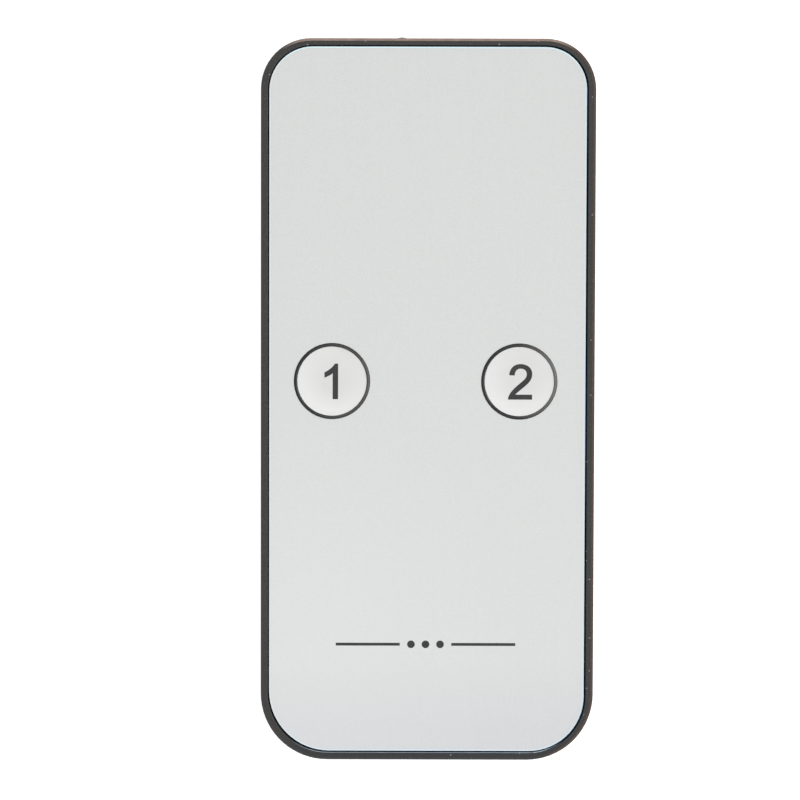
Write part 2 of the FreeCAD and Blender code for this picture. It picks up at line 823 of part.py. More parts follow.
def make_parts():
    envelope = make_envelope()
    parts = {
        "back_shell": make_back_shell(envelope),
        "front_shell": make_front_shell(envelope),
        "face_film": make_face_film(),
        "film_adhesive": make_film_adhesive(),
        "circuit_board": make_circuit_board(),
        "key_contacts": make_key_contacts(),
        "encoder_chip": make_encoder_chip(),
        "chip_legs": make_chip_legs(),
        "resonator": make_resonator(),
        "resonator_legs": make_resonator_legs(),
        "drive_transistor": make_drive_transistor(),
        "transistor_legs": make_transistor_legs(),
        "chip_resistors": row_of_blocks(resistor_size, resistor_offset, resistor_spacing, resistor_count),
        "chip_capacitors": row_of_blocks(
            capacitor_size, capacitor_offset, capacitor_spacing, capacitor_count),
        "lamp_lens": make_lamp_lens(),
        "lamp_legs": make_lamp_legs(),
        "negative_contact": make_negative_contact(),
        "positive_contact": make_positive_contact(),
        "battery_tray": make_battery_tray(envelope),
        "tray_latch": make_tray_latch(envelope),
    }
    metal = [parts["lamp_legs"], parts["negative_contact"], parts["positive_contact"]]
    parts["solder_joints"] = make_solder_joints(metal)
    parts["cell_can"], parts["cell_gasket"], parts["cell_cap"] = make_cell()
    for number, (x, y) in enumerate(key_places, start=1):
        parts[f"key_{number}_film"] = make_key_film(x, y)
        parts[f"key_{number}_push_disc"] = make_push_disc(x, y)
        parts[f"snap_dome_{number}"] = make_snap_dome(x, y)
        parts[f"dome_retainer_{number}"] = make_dome_retainer(x, y)
    return parts


os.makedirs("parts", exist_ok=True)
for name, shape in make_parts().items():
    shape.exportStep(f"parts/{name}.step")
    solids = shape.Solids
    volume = sum(solid.Volume for solid in solids)
    print(f"{name}: {len(solids)} solid(s), {volume:.2f} cubic mm, valid {shape.isValid()}")
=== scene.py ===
import math

import bmesh
import bpy
from mathutils import Matrix, Vector
from mathutils.bvhtree import BVHTree


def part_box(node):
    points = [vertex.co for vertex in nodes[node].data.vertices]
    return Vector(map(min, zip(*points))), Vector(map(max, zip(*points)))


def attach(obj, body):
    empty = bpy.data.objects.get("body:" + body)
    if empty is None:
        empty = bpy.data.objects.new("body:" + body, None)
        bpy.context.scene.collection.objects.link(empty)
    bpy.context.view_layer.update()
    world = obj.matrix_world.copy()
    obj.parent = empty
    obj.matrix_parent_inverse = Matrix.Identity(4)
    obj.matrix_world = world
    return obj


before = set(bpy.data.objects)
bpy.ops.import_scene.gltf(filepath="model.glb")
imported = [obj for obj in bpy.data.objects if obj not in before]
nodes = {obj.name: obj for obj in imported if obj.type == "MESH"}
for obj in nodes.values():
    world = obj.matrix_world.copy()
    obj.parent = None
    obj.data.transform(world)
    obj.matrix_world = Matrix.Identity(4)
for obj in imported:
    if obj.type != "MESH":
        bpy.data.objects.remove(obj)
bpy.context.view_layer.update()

# A slim two-key remote control, lying on a white table with its keys up.
# Everything is in metres; mm turns a plain millimetre figure into metres.
mm = 0.001
filmLow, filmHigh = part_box("face_film")


def centreOf(node):
    low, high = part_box(node)
    return (low + high) / 2


def addObject(name, data):
    thing = bpy.data.objects.new(name, data)
    bpy.context.scene.collection.objects.link(thing)
    return thing


# Small helpers for node trees. An input is given as a plain value, or as the socket that feeds it.

def feed(tree, socket, value):
    if isinstance(value, bpy.types.NodeSocket):
        tree.links.new(value, socket)
    else:
        socket.default_value = value


def addNode(tree, kind, inputs=None, **settings):
    node = tree.nodes.new(kind)
    for key, value in settings.items():
        setattr(node, key, value)
    for key, value in (inputs or {}).items():
        feed(tree, node.inputs[key], value)
    return node


def compute(tree, operation, *inputs):
    return addNode(tree, "ShaderNodeMath", dict(enumerate(inputs)), operation=operation).outputs[0]


def computeVector(tree, operation, *inputs):
    node = addNode(tree, "ShaderNodeVectorMath", dict(enumerate(inputs)), operation=operation)
    return node.outputs["Value" if operation in ("LENGTH", "DOT_PRODUCT") else "Vector"]


def product(tree, total, *factors):
    for factor in factors:
        total = compute(tree, "MULTIPLY", total, factor)
    return total


# Turns one range of a value into another, and stops at its ends
def spread(tree, value, low=0.0, high=1.0, toLow=0.0, toHigh=1.0):
    node = addNode(tree, "ShaderNodeMapRange", {
        "Value": value, "From Min": low, "From Max": high, "To Min": toLow, "To Max": toHigh}, clamp=True)
    return node.outputs["Result"]


def blend(tree, kind, factor, first, second):
    node = addNode(tree, "ShaderNodeMix", {"Factor": factor, "A": first, "B": second}, data_type=kind)
    return node.outputs["Result"]


def objectPlace(tree):
    return addNode(tree, "ShaderNodeTexCoord").outputs["Object"]


def surfaceNormal(tree):
    return addNode(tree, "ShaderNodeNewGeometry").outputs["Normal"]


def axesOf(tree, vector):
    return addNode(tree, "ShaderNodeSeparateXYZ", {0: vector}).outputs


# 1 on faces that look up or down, 0 on upright walls
def flatness(tree):
    return compute(tree, "ABSOLUTE", axesOf(tree, surfaceNormal(tree))["Z"])


# Noise in the object's own space, of a size in metres
def noiseOf(tree, size, detail, roughness):
    scaled = computeVector(tree, "DIVIDE", objectPlace(tree), size)
    return addNode(tree, "ShaderNodeTexNoise", {
        "Vector": scaled, "Scale": 1.0, "Detail": detail, "Roughness": roughness}).outputs["Fac"]


# From an upright line through a centre to the point, level
def levelOffset(tree, centre):
    away = computeVector(tree, "SUBTRACT", objectPlace(tree), centre)
    return computeVector(tree, "MULTIPLY", away, (1, 1, 0))


# A group with one output. The plain value of an input also says what kind of socket it gets.
def newGroup(name, inputs, output, outputKind="NodeSocketFloat"):
    group = bpy.data.node_groups.new(name, "ShaderNodeTree")
    kinds = {1: "NodeSocketFloat", 3: "NodeSocketVector", 4: "NodeSocketColor"}
    for label, value in inputs.items():
        count = len(value) if isinstance(value, tuple) else 1
        socket = group.interface.new_socket(label, in_out="INPUT", socket_type=kinds[count])
        socket.default_value = value
    group.interface.new_socket(output, in_out="OUTPUT", socket_type=outputKind)
    start = group.nodes.new("NodeGroupInput")
    end = group.nodes.new("NodeGroupOutput")
    return group, start.outputs, end.inputs


def placeGroup(tree, group, inputs):
    return addNode(tree, "ShaderNodeGroup", inputs, node_tree=group).outputs[0]


# Shared effects

# Fine grain: noise with a size along each axis
def buildGrain():
    group, start, end = newGroup("fineGrain", {
        "Size": (0.1 * mm, 0.1 * mm, 0.1 * mm), "Detail": 2.0, "Low": 0.3, "High": 0.7}, "Height")
    noise = noiseOf(group, start["Size"], start["Detail"], roughness=0.6)
    feed(group, end["Height"], spread(group, noise, start["Low"], start["High"]))
    return group


# A slow drift between two colours
def buildDrift():
    group, start, end = newGroup("colourDrift", {
        "Colour A": (1, 1, 1, 1), "Colour B": (0, 0, 0, 1), "Size": (5 * mm, 5 * mm, 5 * mm)},
        "Colour", "NodeSocketColor")
    slow = spread(group, noiseOf(group, start["Size"], detail=3.0, roughness=0.55), low=0.3, high=0.7)
    feed(group, end["Colour"], blend(group, "RGBA", slow, start["Colour A"], start["Colour B"]))
    return group


dustPattern = {
    "wobble": 4200.0,                          # bends the outline of each speck
    "bend": (0.22 * mm, 0.22 * mm, 0),
    "lying": 0.9,                              # only faces that look up carry dust
}


# Sparse specks of dust: one spot in a few of the cells of a Voronoi pattern
def buildDust():
    group, start, end = newGroup("dustSpecks", {"Spacing": 2.5 * mm, "Speck": 0.03, "Share": 0.2}, "Mask")
    place = objectPlace(group)
    wobble = addNode(group, "ShaderNodeTexNoise", {
        "Vector": place, "Scale": dustPattern["wobble"], "Detail": 2.0})
    bend = computeVector(group, "MULTIPLY", wobble.outputs["Color"], dustPattern["bend"])
    moved = computeVector(group, "ADD", place, bend)
    cells = addNode(group, "ShaderNodeTexVoronoi", {
        "Vector": computeVector(group, "DIVIDE", moved, start["Spacing"]), "Scale": 1.0, "Randomness": 1.0},
        voronoi_dimensions="2D")
    near = compute(group, "LESS_THAN", cells.outputs["Distance"], start["Speck"])
    pick = addNode(group, "ShaderNodeSeparateColor", {0: cells.outputs["Color"]})
    chosen = compute(group, "LESS_THAN", pick.outputs[0], start["Share"])
    up = compute(group, "GREATER_THAN", axesOf(group, surfaceNormal(group))["Z"], dustPattern["lying"])
    feed(group, end["Mask"], product(group, near, chosen, up))
    return group


rubLimits = {
    "leavesWall": (0.08, 0.4),
    "reachesFlat": (0.75, 0.985),
    "patches": (0.35, 0.65),
    "leastRub": 0.45,
}


# Rubbed edges: 1 where the surface turns from flat to upright, 0 on flats and walls
def buildEdgeRub():
    group, start, end = newGroup("edgeRub", {"Amount": 1.0, "Patch": 1.0 * mm}, "Mask")
    flat = flatness(group)
    rise = spread(group, flat, *rubLimits["leavesWall"])
    fall = spread(group, flat, *rubLimits["reachesFlat"], toLow=1.0, toHigh=0.0)
    noise = noiseOf(group, start["Patch"], detail=4.0, roughness=0.5)
    uneven = spread(group, noise, *rubLimits["patches"], rubLimits["leastRub"])
    feed(group, end["Mask"], product(group, rise, fall, uneven, start["Amount"]))
    return group


# Turned metal: fine rings about a centre, in the plane square to Z
def buildTurning():
    group, start, end = newGroup("turnedRings", {"Centre": (0, 0, 0), "Pitch": 0.12 * mm}, "Height")
    radius = computeVector(group, "LENGTH", levelOffset(group, start["Centre"]))
    noise = addNode(group, "ShaderNodeTexNoise", {
        "W": compute(group, "DIVIDE", radius, start["Pitch"]), "Scale": 1.0, "Detail": 2.0},
        noise_dimensions="1D")
    feed(group, end["Height"], noise.outputs["Fac"])
    return group


# How far inside a plate with four rounded corners a point lies, in metres
def buildPlateDepth():
    group, start, end = newGroup("plateDepth", {
        "Middle": (0, 0, 0), "Half Size": (19 * mm, 42 * mm, 0), "Upper Left": 5 * mm, "Upper Right": 5 * mm,
        "Lower Right": 7 * mm, "Lower Left": 7 * mm}, "Depth")
    local = computeVector(group, "SUBTRACT", objectPlace(group), start["Middle"])
    axes = axesOf(group, local)
    isLow = compute(group, "LESS_THAN", axes["Y"], 0.0)
    isLeft = compute(group, "LESS_THAN", axes["X"], 0.0)
    lower, upper = [blend(group, "FLOAT", isLeft, start[half + " Right"], start[half + " Left"])
                    for half in ("Lower", "Upper")]
    radius = blend(group, "FLOAT", isLow, upper, lower)
    beyond = computeVector(group, "SUBTRACT", computeVector(group, "ABSOLUTE", local), start["Half Size"])
    shifted = computeVector(group, "ADD", beyond, radius)
    outer = computeVector(group, "MAXIMUM", computeVector(group, "MULTIPLY", shifted, (1, 1, 0)), (0, 0, 0))
    parts = axesOf(group, shifted)
    inner = compute(group, "MINIMUM", compute(group, "MAXIMUM", parts["X"], parts["Y"]), 0.0)
    total = compute(group, "ADD", computeVector(group, "LENGTH", outer), inner)
    feed(group, end["Depth"], compute(group, "SUBTRACT", radius, total))
    return group


# 1 on upright walls, 0 on faces that look up or down
def buildWalls():
    group, start, end = newGroup("uprightWalls", {}, "Mask")
    feed(group, end["Mask"], spread(group, flatness(group), low=0.35, high=0.6, toLow=1.0, toHigh=0.0))
    return group


# Bands across a piece: 1 where the distance from the nearest middle, along one axis, passes a limit
def buildEndBands():
    group, start, end = newGroup("endBands", {
        "Middle": 0.0, "Pitch": 1.0, "Limit": 0.5 * mm, "Axis": (1, 0, 0)}, "Mask")
    along = computeVector(group, "DOT_PRODUCT", objectPlace(group), start["Axis"])
    ratio = compute(group, "DIVIDE", compute(group, "SUBTRACT", along, start["Middle"]), start["Pitch"])
    rest = compute(group, "SUBTRACT", ratio, compute(group, "ROUND", ratio))
    away = compute(group, "ABSOLUTE", compute(group, "MULTIPLY", rest, start["Pitch"]))
    feed(group, end["Mask"], compute(group, "GREATER_THAN", away, start["Limit"]))
    return group


# The rounded top of a ring: 1 along the crest, 0 down its sides
def buildCrest():
    group, start, end = newGroup("crestLine", {"Low": 0.93, "High": 0.995}, "Mask")
    upright = axesOf(group, surfaceNormal(group))["Z"]
    feed(group, end["Mask"], spread(group, upright, start["Low"], start["High"]))
    return group


# 1 on the side of a centre that faces one way, seen from above, 0 on the other side
def buildOneSide():
    group, start, end = newGroup("oneSide", {
        "Centre": (0, 0, 0), "Direction": (1, 0, 0), "Low": 0.6, "High": 0.9}, "Mask")
    unit = computeVector(group, "NORMALIZE", levelOffset(group, start["Centre"]))
    along = computeVector(group, "DOT_PRODUCT", unit, start["Direction"])
    feed(group, end["Mask"], spread(group, along, start["Low"], start["High"]))
    return group


# Rises from 0 to 1 with the distance from an upright line through a centre
def buildReach():
    group, start, end = newGroup("centreReach", {"Centre": (0, 0, 0), "Low": 1 * mm, "High": 3 * mm}, "Mask")
    radius = computeVector(group, "LENGTH", levelOffset(group, start["Centre"]))
    feed(group, end["Mask"], spread(group, radius, start["Low"], start["High"]))
    return group


grain = buildGrain()
drift = buildDrift()
dust = buildDust()
edgeRub = buildEdgeRub()
turning = buildTurning()
plateDepth = buildPlateDepth()
walls = buildWalls()
endBands = buildEndBands()
crestLine = buildCrest()
oneSide = buildOneSide()
centreReach = buildReach()
print("shared effects built")


# Materials

def rgba(colour):
    return (*colour, 1.0)


def newMaterial(name, values):
    material = bpy.data.materials.new(name)
    material.use_nodes = True
    tree = material.node_tree
    shader = tree.nodes["Principled BSDF"].inputs
    for key, value in values.items():
        shader[key].default_value = value
    return material, tree, shader


def driftColour(tree, values):
    first, second = values["colours"]
    return placeGroup(tree, drift, {
        "Colour A": rgba(first), "Colour B": rgba(second), "Size": values["drift"]})


def grainOf(tree, values, detail=2.0):
    return placeGroup(tree, grain, {"Size": values["grain"], "Detail": detail})


# Lays a colour over another where a mask says so
def tint(tree, base, mask, colour):
    return blend(tree, "RGBA", mask, base, rgba(colour))


# Gives the shader its colour, and a texture that shows in its roughness and its height
def finishSurface(tree, shader, values, colour, texture, strength=0.4):
    feed(tree, shader["Base Color"], colour)
    smooth, coarse = values["roughness"]
    rough = spread(tree, texture, toLow=smooth, toHigh=coarse)
    feed(tree, shader["Roughness"], rough)
    bump = addNode(tree, "ShaderNodeBump", {
        "Strength": strength, "Distance": values["grainDepth"], "Height": texture})
    feed(tree, shader["Normal"], bump.outputs["Normal"])
    return rough


# The outline of the face film, with the radius of each corner
filmPlate = {
    "Middle": (filmLow + filmHigh) / 2,
    "Half Size": (filmHigh - filmLow) / 2,
    "Upper Left": 5.22 * mm,
    "Upper Right": 4.96 * mm,
    "Lower Right": 6.63 * mm,
    "Lower Left": 7.25 * mm,
}
casePlastic = {
    "colours": [(0.0190, 0.0183, 0.0165), (0.0244, 0.0231, 0.0203)],
    "drift": (7 * mm, 7 * mm, 7 * mm),
    "speckle": {"Size": (0.24 * mm, 0.24 * mm, 0.24 * mm), "Detail": 2.0, "Low": 0.5, "High": 0.75},
    "speckleColour": (0.043, 0.043, 0.040),
    "grain": (0.10 * mm, 0.10 * mm, 0.10 * mm),
    "grainDepth": 0.016 * mm,
    "roughness": (0.44, 0.60),
    "rub": {"Amount": 1.0, "Patch": 1.6 * mm},
    "rubbed": (0.040, 0.034, 0.031),
    "rubbedRoughness": 0.18,
    "dust": {"Spacing": 2.1 * mm, "Speck": 0.032, "Share": 0.5},
    "dustColour": (0.30, 0.30, 0.29),
    "topFrom": filmLow.z - 0.45 * mm,          # just under the floor of the gap round the film
    # painted shade across the foot of the rim
    "footShadeColour": (0.0120, 0.0130, 0.0160),
    "footShadeTurn": (-40.0 * mm, -42.3 * mm),
    "footShadeShare": 0.8,
    # painted shade in the gap round the film
    "gapShadeColour": (0.002, 0.009, 0.021),
    "gapShadeReach": (0.17 * mm, 0.215 * mm),
    "gapShadeTurn": (5 * mm, 15 * mm),
    # each painted edge highlight: the axis it faces along, where it lies, how squarely it faces that way,
    # its colour
    "highlights": [("X", "GREATER_THAN", 14 * mm, (0.12, 0.4), (0.068, 0.034, 0.023)),
             ("Y", "GREATER_THAN", 36 * mm, (0.8, 0.98), (0.350, 0.250, 0.208)),
             ("Y", "LESS_THAN", -36 * mm, (0.8, 0.98), (0.360, 0.425, 0.490))],
    "highlightPatch": {"Size": (1.1 * mm, 1.1 * mm, 1.1 * mm), "Detail": 3.0},
    "highlightLeast": 0.7,
    "highlightUpward": (0.02, 0.12),
    "highlightSlope": (0.25, 0.6),
}


def makeCasePlastic():
    values = casePlastic
    material, tree, shader = newMaterial("case plastic", {"Specular IOR Level": 0.38, "IOR": 1.5})
    speckle = placeGroup(tree, grain, values["speckle"])
    colour = tint(tree, driftColour(tree, values), speckle, values["speckleColour"])
    rub = placeGroup(tree, edgeRub, values["rub"])
    colour = tint(tree, colour, rub, values["rubbed"])
    axes = axesOf(tree, objectPlace(tree))
    onTop = compute(tree, "GREATER_THAN", axes["Z"], values["topFrom"])
    # painted shade: the rim is made a little darker and cooler across the foot
    foot = spread(tree, axes["Y"], *values["footShadeTurn"], toHigh=values["footShadeShare"])
    colour = tint(tree, colour, product(tree, foot, onTop), values["footShadeColour"])
    # painted shade: the gap round the film is made dark up to the edge of the rim, and a little wider on the
    # right; Metallic there darkens its reflections too
    left, right = values["gapShadeReach"]
    reach = spread(tree, axes["X"], *values["gapShadeTurn"], toLow=-left, toHigh=-right)
    inside = compute(tree, "GREATER_THAN", placeGroup(tree, plateDepth, filmPlate), reach)
    gapShade = product(tree, inside, onTop)
    colour = tint(tree, colour, gapShade, values["gapShadeColour"])
    feed(tree, shader["Metallic"], gapShade)
    # painted highlights on edges that face the lamps: light brown outside at the lamp end, browner on the
    # right, blue-grey inside at the foot
    normal = surfaceNormal(tree)
    upward = spread(tree, axesOf(tree, normal)["Z"], *values["highlightUpward"])
    level = computeVector(tree, "MULTIPLY", normal, (1, 1, 0))
    slope = spread(tree, computeVector(tree, "LENGTH", level), *values["highlightSlope"])
    heading = axesOf(tree, computeVector(tree, "NORMALIZE", level))
    patches = placeGroup(tree, grain, values["highlightPatch"])
    uneven = spread(tree, patches, toLow=values["highlightLeast"])
    highlightEdge = product(tree, upward, slope, uneven, onTop)
    for axis, operation, limit, towards, highlightColour in values["highlights"]:
        facing = spread(tree, heading[axis], *towards)
        there = compute(tree, operation, axes[axis], limit)
        colour = tint(tree, colour, product(tree, highlightEdge, facing, there), highlightColour)
    specks = placeGroup(tree, dust, values["dust"])
    colour = tint(tree, colour, product(tree, specks, onTop), values["dustColour"])
    rough = finishSurface(tree, shader, values, colour, grainOf(tree, values, detail=3.0), strength=0.7)
    feed(tree, shader["Roughness"], blend(tree, "FLOAT", rub, rough, values["rubbedRoughness"]))
    return material


faceFilm = {
    "colours": [(0.647, 0.658, 0.650), (0.661, 0.672, 0.664)],
    "drift": (14 * mm, 30 * mm, 14 * mm),
    "streaks": {"Size": (0.45 * mm, 18 * mm, 5 * mm), "Detail": 3.0, "Low": 0.35, "High": 0.75},
    "streakColour": (0.640, 0.651, 0.643),
    "mottle": {"Size": (0.22 * mm, 0.22 * mm, 0.22 * mm), "Detail": 2.0, "Low": 0.35, "High": 0.65},
    "mottleColour": (0.684, 0.695, 0.688),
    # each band of painted light and shade: the axis and the two places between which it grows, its share and
    # its colour
    "paintedLightAndShade": [("Y", (filmHigh.y - 3 * mm, -25 * mm), 0.19, (0.80, 0.812, 0.806)),
               ("X", (-15 * mm, 17 * mm), 0.055, (0.50, 0.51, 0.505)),
               ("Y", (-31.5 * mm, -39.5 * mm), 0.20, (0.45, 0.47, 0.575))],
    # painted light: a paler patch at the lower left of the film
    "paintedLightPatch": {"Centre": (-17 * mm, -28 * mm, 0), "Low": 28 * mm, "High": 4 * mm},
    "paintedLightColour": (0.80, 0.812, 0.806),
    "paintedLightShare": 0.22,
    "dust": {"Spacing": 6.5 * mm, "Speck": 0.012, "Share": 0.12},
    "dustColour": (0.78, 0.78, 0.77),
    "edgeHighlightColour": (0.70, 0.83, 0.92),
    "edgeHighlightWidth": (0.10 * mm, 0.20 * mm),
    "edgeHighlightTurns": [("X", (filmLow.x + 3 * mm, filmLow.x + 0.5 * mm), (0.76, 0.78, 0.77)),
                    ("Y", (filmHigh.y - 2.5 * mm, filmHigh.y - 0.5 * mm), (0.75, 0.95, 1.0))],
    # painted shade on the cut edge of the film
    "cutEdgeShade": (0.006, 0.014, 0.028),
    "grain": (0.13 * mm, 0.16 * mm, 0.13 * mm),
    "grainDepth": 0.0025 * mm,
    "roughness": (0.40, 0.50),
}


def makeFaceFilm():
    values = faceFilm
    material, tree, shader = newMaterial("satin silver film", {
        "Metallic": 0.15, "Coat Weight": 0.25, "Coat Roughness": 0.35, "IOR": 1.5})
    streaks = placeGroup(tree, grain, values["streaks"])
    colour = tint(tree, driftColour(tree, values), streaks, values["streakColour"])
    mottle = placeGroup(tree, grain, values["mottle"])
    colour = tint(tree, colour, mottle, values["mottleColour"])
    # painted light and shade: the silver is made paler at the lower left and towards the foot, and darker at
    # the very foot and on the right
    axes = axesOf(tree, objectPlace(tree))
    for axis, turn, share, paintedColour in values["paintedLightAndShade"]:
        colour = tint(tree, colour, spread(tree, axes[axis], *turn, toHigh=share), paintedColour)
    lightPatch = placeGroup(tree, centreReach, values["paintedLightPatch"])
    paintedLight = spread(tree, lightPatch, toHigh=values["paintedLightShare"])
    colour = tint(tree, colour, paintedLight, values["paintedLightColour"])
    colour = tint(tree, colour, placeGroup(tree, dust, values["dust"]), values["dustColour"])
    # painted highlight: a thin bluish line inside the edge of the film, neutral near the left edge and
    # brighter at the top; painted shade: the cut edge of the film is dark
    depth = placeGroup(tree, plateDepth, filmPlate)
    line = spread(tree, depth, *values["edgeHighlightWidth"], toLow=1.0, toHigh=0.0)
    colour = tint(tree, colour, line, values["edgeHighlightColour"])
    for axis, turn, borderHighlight in values["edgeHighlightTurns"]:
        colour = tint(tree, colour, product(tree, spread(tree, axes[axis], *turn), line), borderHighlight)
    colour = tint(tree, colour, placeGroup(tree, walls, {}), values["cutEdgeShade"])
    finishSurface(tree, shader, values, colour, grainOf(tree, values), strength=0.35)
    return material


# A plain surface: two drifting colours and fine grain
def makePlain(name, values, extra):
    material, tree, shader = newMaterial(name, extra)
    finishSurface(tree, shader, values, driftColour(tree, values), grainOf(tree, values))
    return material


# Two colours, sizes in mm and a range of roughness
def plainValues(first, second, driftSize, grainSize, grainDepth, roughness):
    return {"colours": [first, second], "drift": (driftSize * mm,) * 3,
            "grain": tuple(side * mm for side in grainSize), "grainDepth": grainDepth * mm,
            "roughness": roughness}


# For each material slot: a name, the values, and what is constant over the surface
plainKinds = {
    "adhesive": ("double-sided adhesive", plainValues(
        (0.80, 0.78, 0.70), (0.84, 0.82, 0.75), 4, (0.6, 0.6, 0.6), 0.004, (0.35, 0.5)),
        {"Subsurface Weight": 0.1, "Subsurface Radius": (0.0002, 0.0002, 0.0002)}),
    "push_disc": ("natural moulding", plainValues(
        (0.73, 0.73, 0.70), (0.77, 0.77, 0.74), 3, (0.12, 0.12, 0.12), 0.006, (0.45, 0.6)),
        {"Subsurface Weight": 0.15, "Subsurface Radius": (0.0004, 0.0004, 0.0004)}),
    "spring_steel": ("sprung steel foil", plainValues(
        (0.58, 0.56, 0.52), (0.66, 0.64, 0.60), 1.2, (0.02, 0.9, 0.9), 0.002, (0.18, 0.34)),
        {"Metallic": 1.0}),
    "retainer_sheet": ("clear retainer sheet", plainValues(
        (0.74, 0.77, 0.80), (0.80, 0.82, 0.84), 2, (0.5, 0.5, 0.5), 0.003, (0.08, 0.2)),
        {"Transmission Weight": 0.7, "IOR": 1.47}),
    "copper": ("gold-flashed copper", plainValues(
        (0.78, 0.58, 0.28), (0.84, 0.66, 0.34), 1.5, (0.05, 0.6, 0.6), 0.002, (0.2, 0.34)),
        {"Metallic": 1.0}),
    "chip_resin": ("moulded epoxy", plainValues(
        (0.017, 0.017, 0.018), (0.026, 0.026, 0.026), 2.5, (0.07, 0.07, 0.07), 0.01, (0.5, 0.68)), {}),
    "tinned_metal": ("tin plate", plainValues(
        (0.66, 0.66, 0.64), (0.74, 0.74, 0.72), 0.8, (0.12, 0.12, 0.12), 0.003, (0.24, 0.4)),
        {"Metallic": 1.0}),
    "resonator_coat": ("dipped lacquer", plainValues(
        (0.040, 0.125, 0.37), (0.058, 0.155, 0.43), 1.8, (0.5, 0.5, 0.5), 0.02, (0.12, 0.26)),
        {"Coat Weight": 0.5, "Coat Roughness": 0.08}),
    "lamp_lens": ("smoke-tinted epoxy", plainValues(
        (0.010, 0.008, 0.013), (0.015, 0.012, 0.018), 1.5, (0.8, 0.8, 0.8), 0.002, (0.05, 0.12)),
        {"Coat Weight": 0.6, "Coat Roughness": 0.04, "IOR": 1.54}),
    "nickel_plate": ("bright nickel plate", plainValues(
        (0.69, 0.67, 0.63), (0.75, 0.73, 0.69), 2, (0.9, 0.03, 0.9), 0.002, (0.12, 0.26)),
        {"Metallic": 1.0}),
    "solder": ("solder", plainValues(
        (0.60, 0.60, 0.60), (0.70, 0.70, 0.71), 0.7, (0.35, 0.35, 0.35), 0.02, (0.2, 0.42)),
        {"Metallic": 1.0}),
    "cell_gasket": ("grey nylon", plainValues(
        (0.27, 0.27, 0.27), (0.33, 0.33, 0.32), 2, (0.1, 0.1, 0.1), 0.004, (0.4, 0.55)), {}),
}
printInk = plainValues(
    (0.031, 0.031, 0.031), (0.043, 0.043, 0.043), 2, (0.08, 0.08, 0.08), 0.002, (0.4, 0.55))


# The chip parts have tinned ends, told from their bodies by the distance from the middle
capacitorLow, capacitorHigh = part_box("chip_capacitors")
capacitorLength = 2.0 * mm
endCapColour = (0.70, 0.70, 0.68)
chipParts = {
    "chip_resistors": ("chip resistor", plainKinds["chip_resin"][1], {
        "Middle": centreOf("chip_resistors").y, "Pitch": 1.0, "Limit": 0.52 * mm, "Axis": (0, 1, 0)}),
    "chip_capacitors": ("chip capacitor", plainValues(
        (0.52, 0.42, 0.31), (0.58, 0.48, 0.37), 1, (0.1, 0.1, 0.1), 0.004, (0.4, 0.55)), {
        "Middle": capacitorLow.x + capacitorLength / 2,
        "Pitch": capacitorHigh.x - capacitorLow.x - capacitorLength, "Limit": 0.62 * mm, "Axis": (1, 0, 0)}),
}


def makeEndCapped(name, values, bands):
    material, tree, shader = newMaterial(name, {})
    ends = placeGroup(tree, endBands, bands)
    feed(tree, shader["Metallic"], ends)
    colour = tint(tree, driftColour(tree, values), ends, endCapColour)
    finishSurface(tree, shader, values, colour, grainOf(tree, values))
    return material


boardLaminate = {
    "colours": [(0.38, 0.27, 0.12), (0.46, 0.33, 0.16)],
    "drift": (3 * mm, 3 * mm, 0.4 * mm),
    "lacquer": (0.020, 0.115, 0.045),
    "grain": (0.25 * mm, 0.25 * mm, 0.08 * mm),
    "grainDepth": 0.006 * mm,
    "roughness": (0.25, 0.4),
}


# The board is lacquered on its faces and bare on its cut edges
def makeBoard():
    values = boardLaminate
    material, tree, shader = newMaterial("lacquered board", {"IOR": 1.5})
    face = compute(tree, "SUBTRACT", 1.0, placeGroup(tree, walls, {}))
    colour = tint(tree, driftColour(tree, values), face, values["lacquer"])
    finishSurface(tree, shader, values, colour, grainOf(tree, values, detail=3.0))
    return material


turnedSteel = {
    "colours": [(0.45, 0.45, 0.44), (0.50, 0.50, 0.49)],
    "drift": (3 * mm, 3 * mm, 3 * mm),
    "pitch": 0.11 * mm,
    "grainDepth": 0.010 * mm,
    "roughness": (0.20, 0.46),
}


def makeTurnedSteel(name, node):
    values = turnedSteel
    material, tree, shader = newMaterial(name, {"Metallic": 1.0})
    rings = placeGroup(tree, turning, {"Centre": centreOf(node), "Pitch": values["pitch"]})
    finishSurface(tree, shader, values, driftColour(tree, values), rings, strength=0.7)
    return material


# 1 on the side of a key that faces a compass direction, in degrees from +X towards +Y
def keySide(tree, number, compass, low, high):
    towards = math.radians(compass)
    return placeGroup(tree, oneSide, {
        "Centre": centreOf(f"key_{number}_film"), "Direction": (math.cos(towards), math.sin(towards), 0),
        "Low": low, "High": high})


keyFilm = {
    "colours": [(0.748, 0.744, 0.740), (0.776, 0.772, 0.768)],
    "drift": (5 * mm, 5 * mm, 5 * mm),
    # painted light: the print made paler towards the ring
    "paintedLightColour": (0.868, 0.865, 0.862),
    "paintedLightFrom": 1.1 * mm,
    "paintedLightTo": 3.4 * mm,
    "paintedLightTowards": 255,
    "paintedLightLeast": 0.15,
    "grain": (0.14 * mm, 0.14 * mm, 0.14 * mm),
    "grainDepth": 0.0015 * mm,
    "roughness": (0.30, 0.38),
}


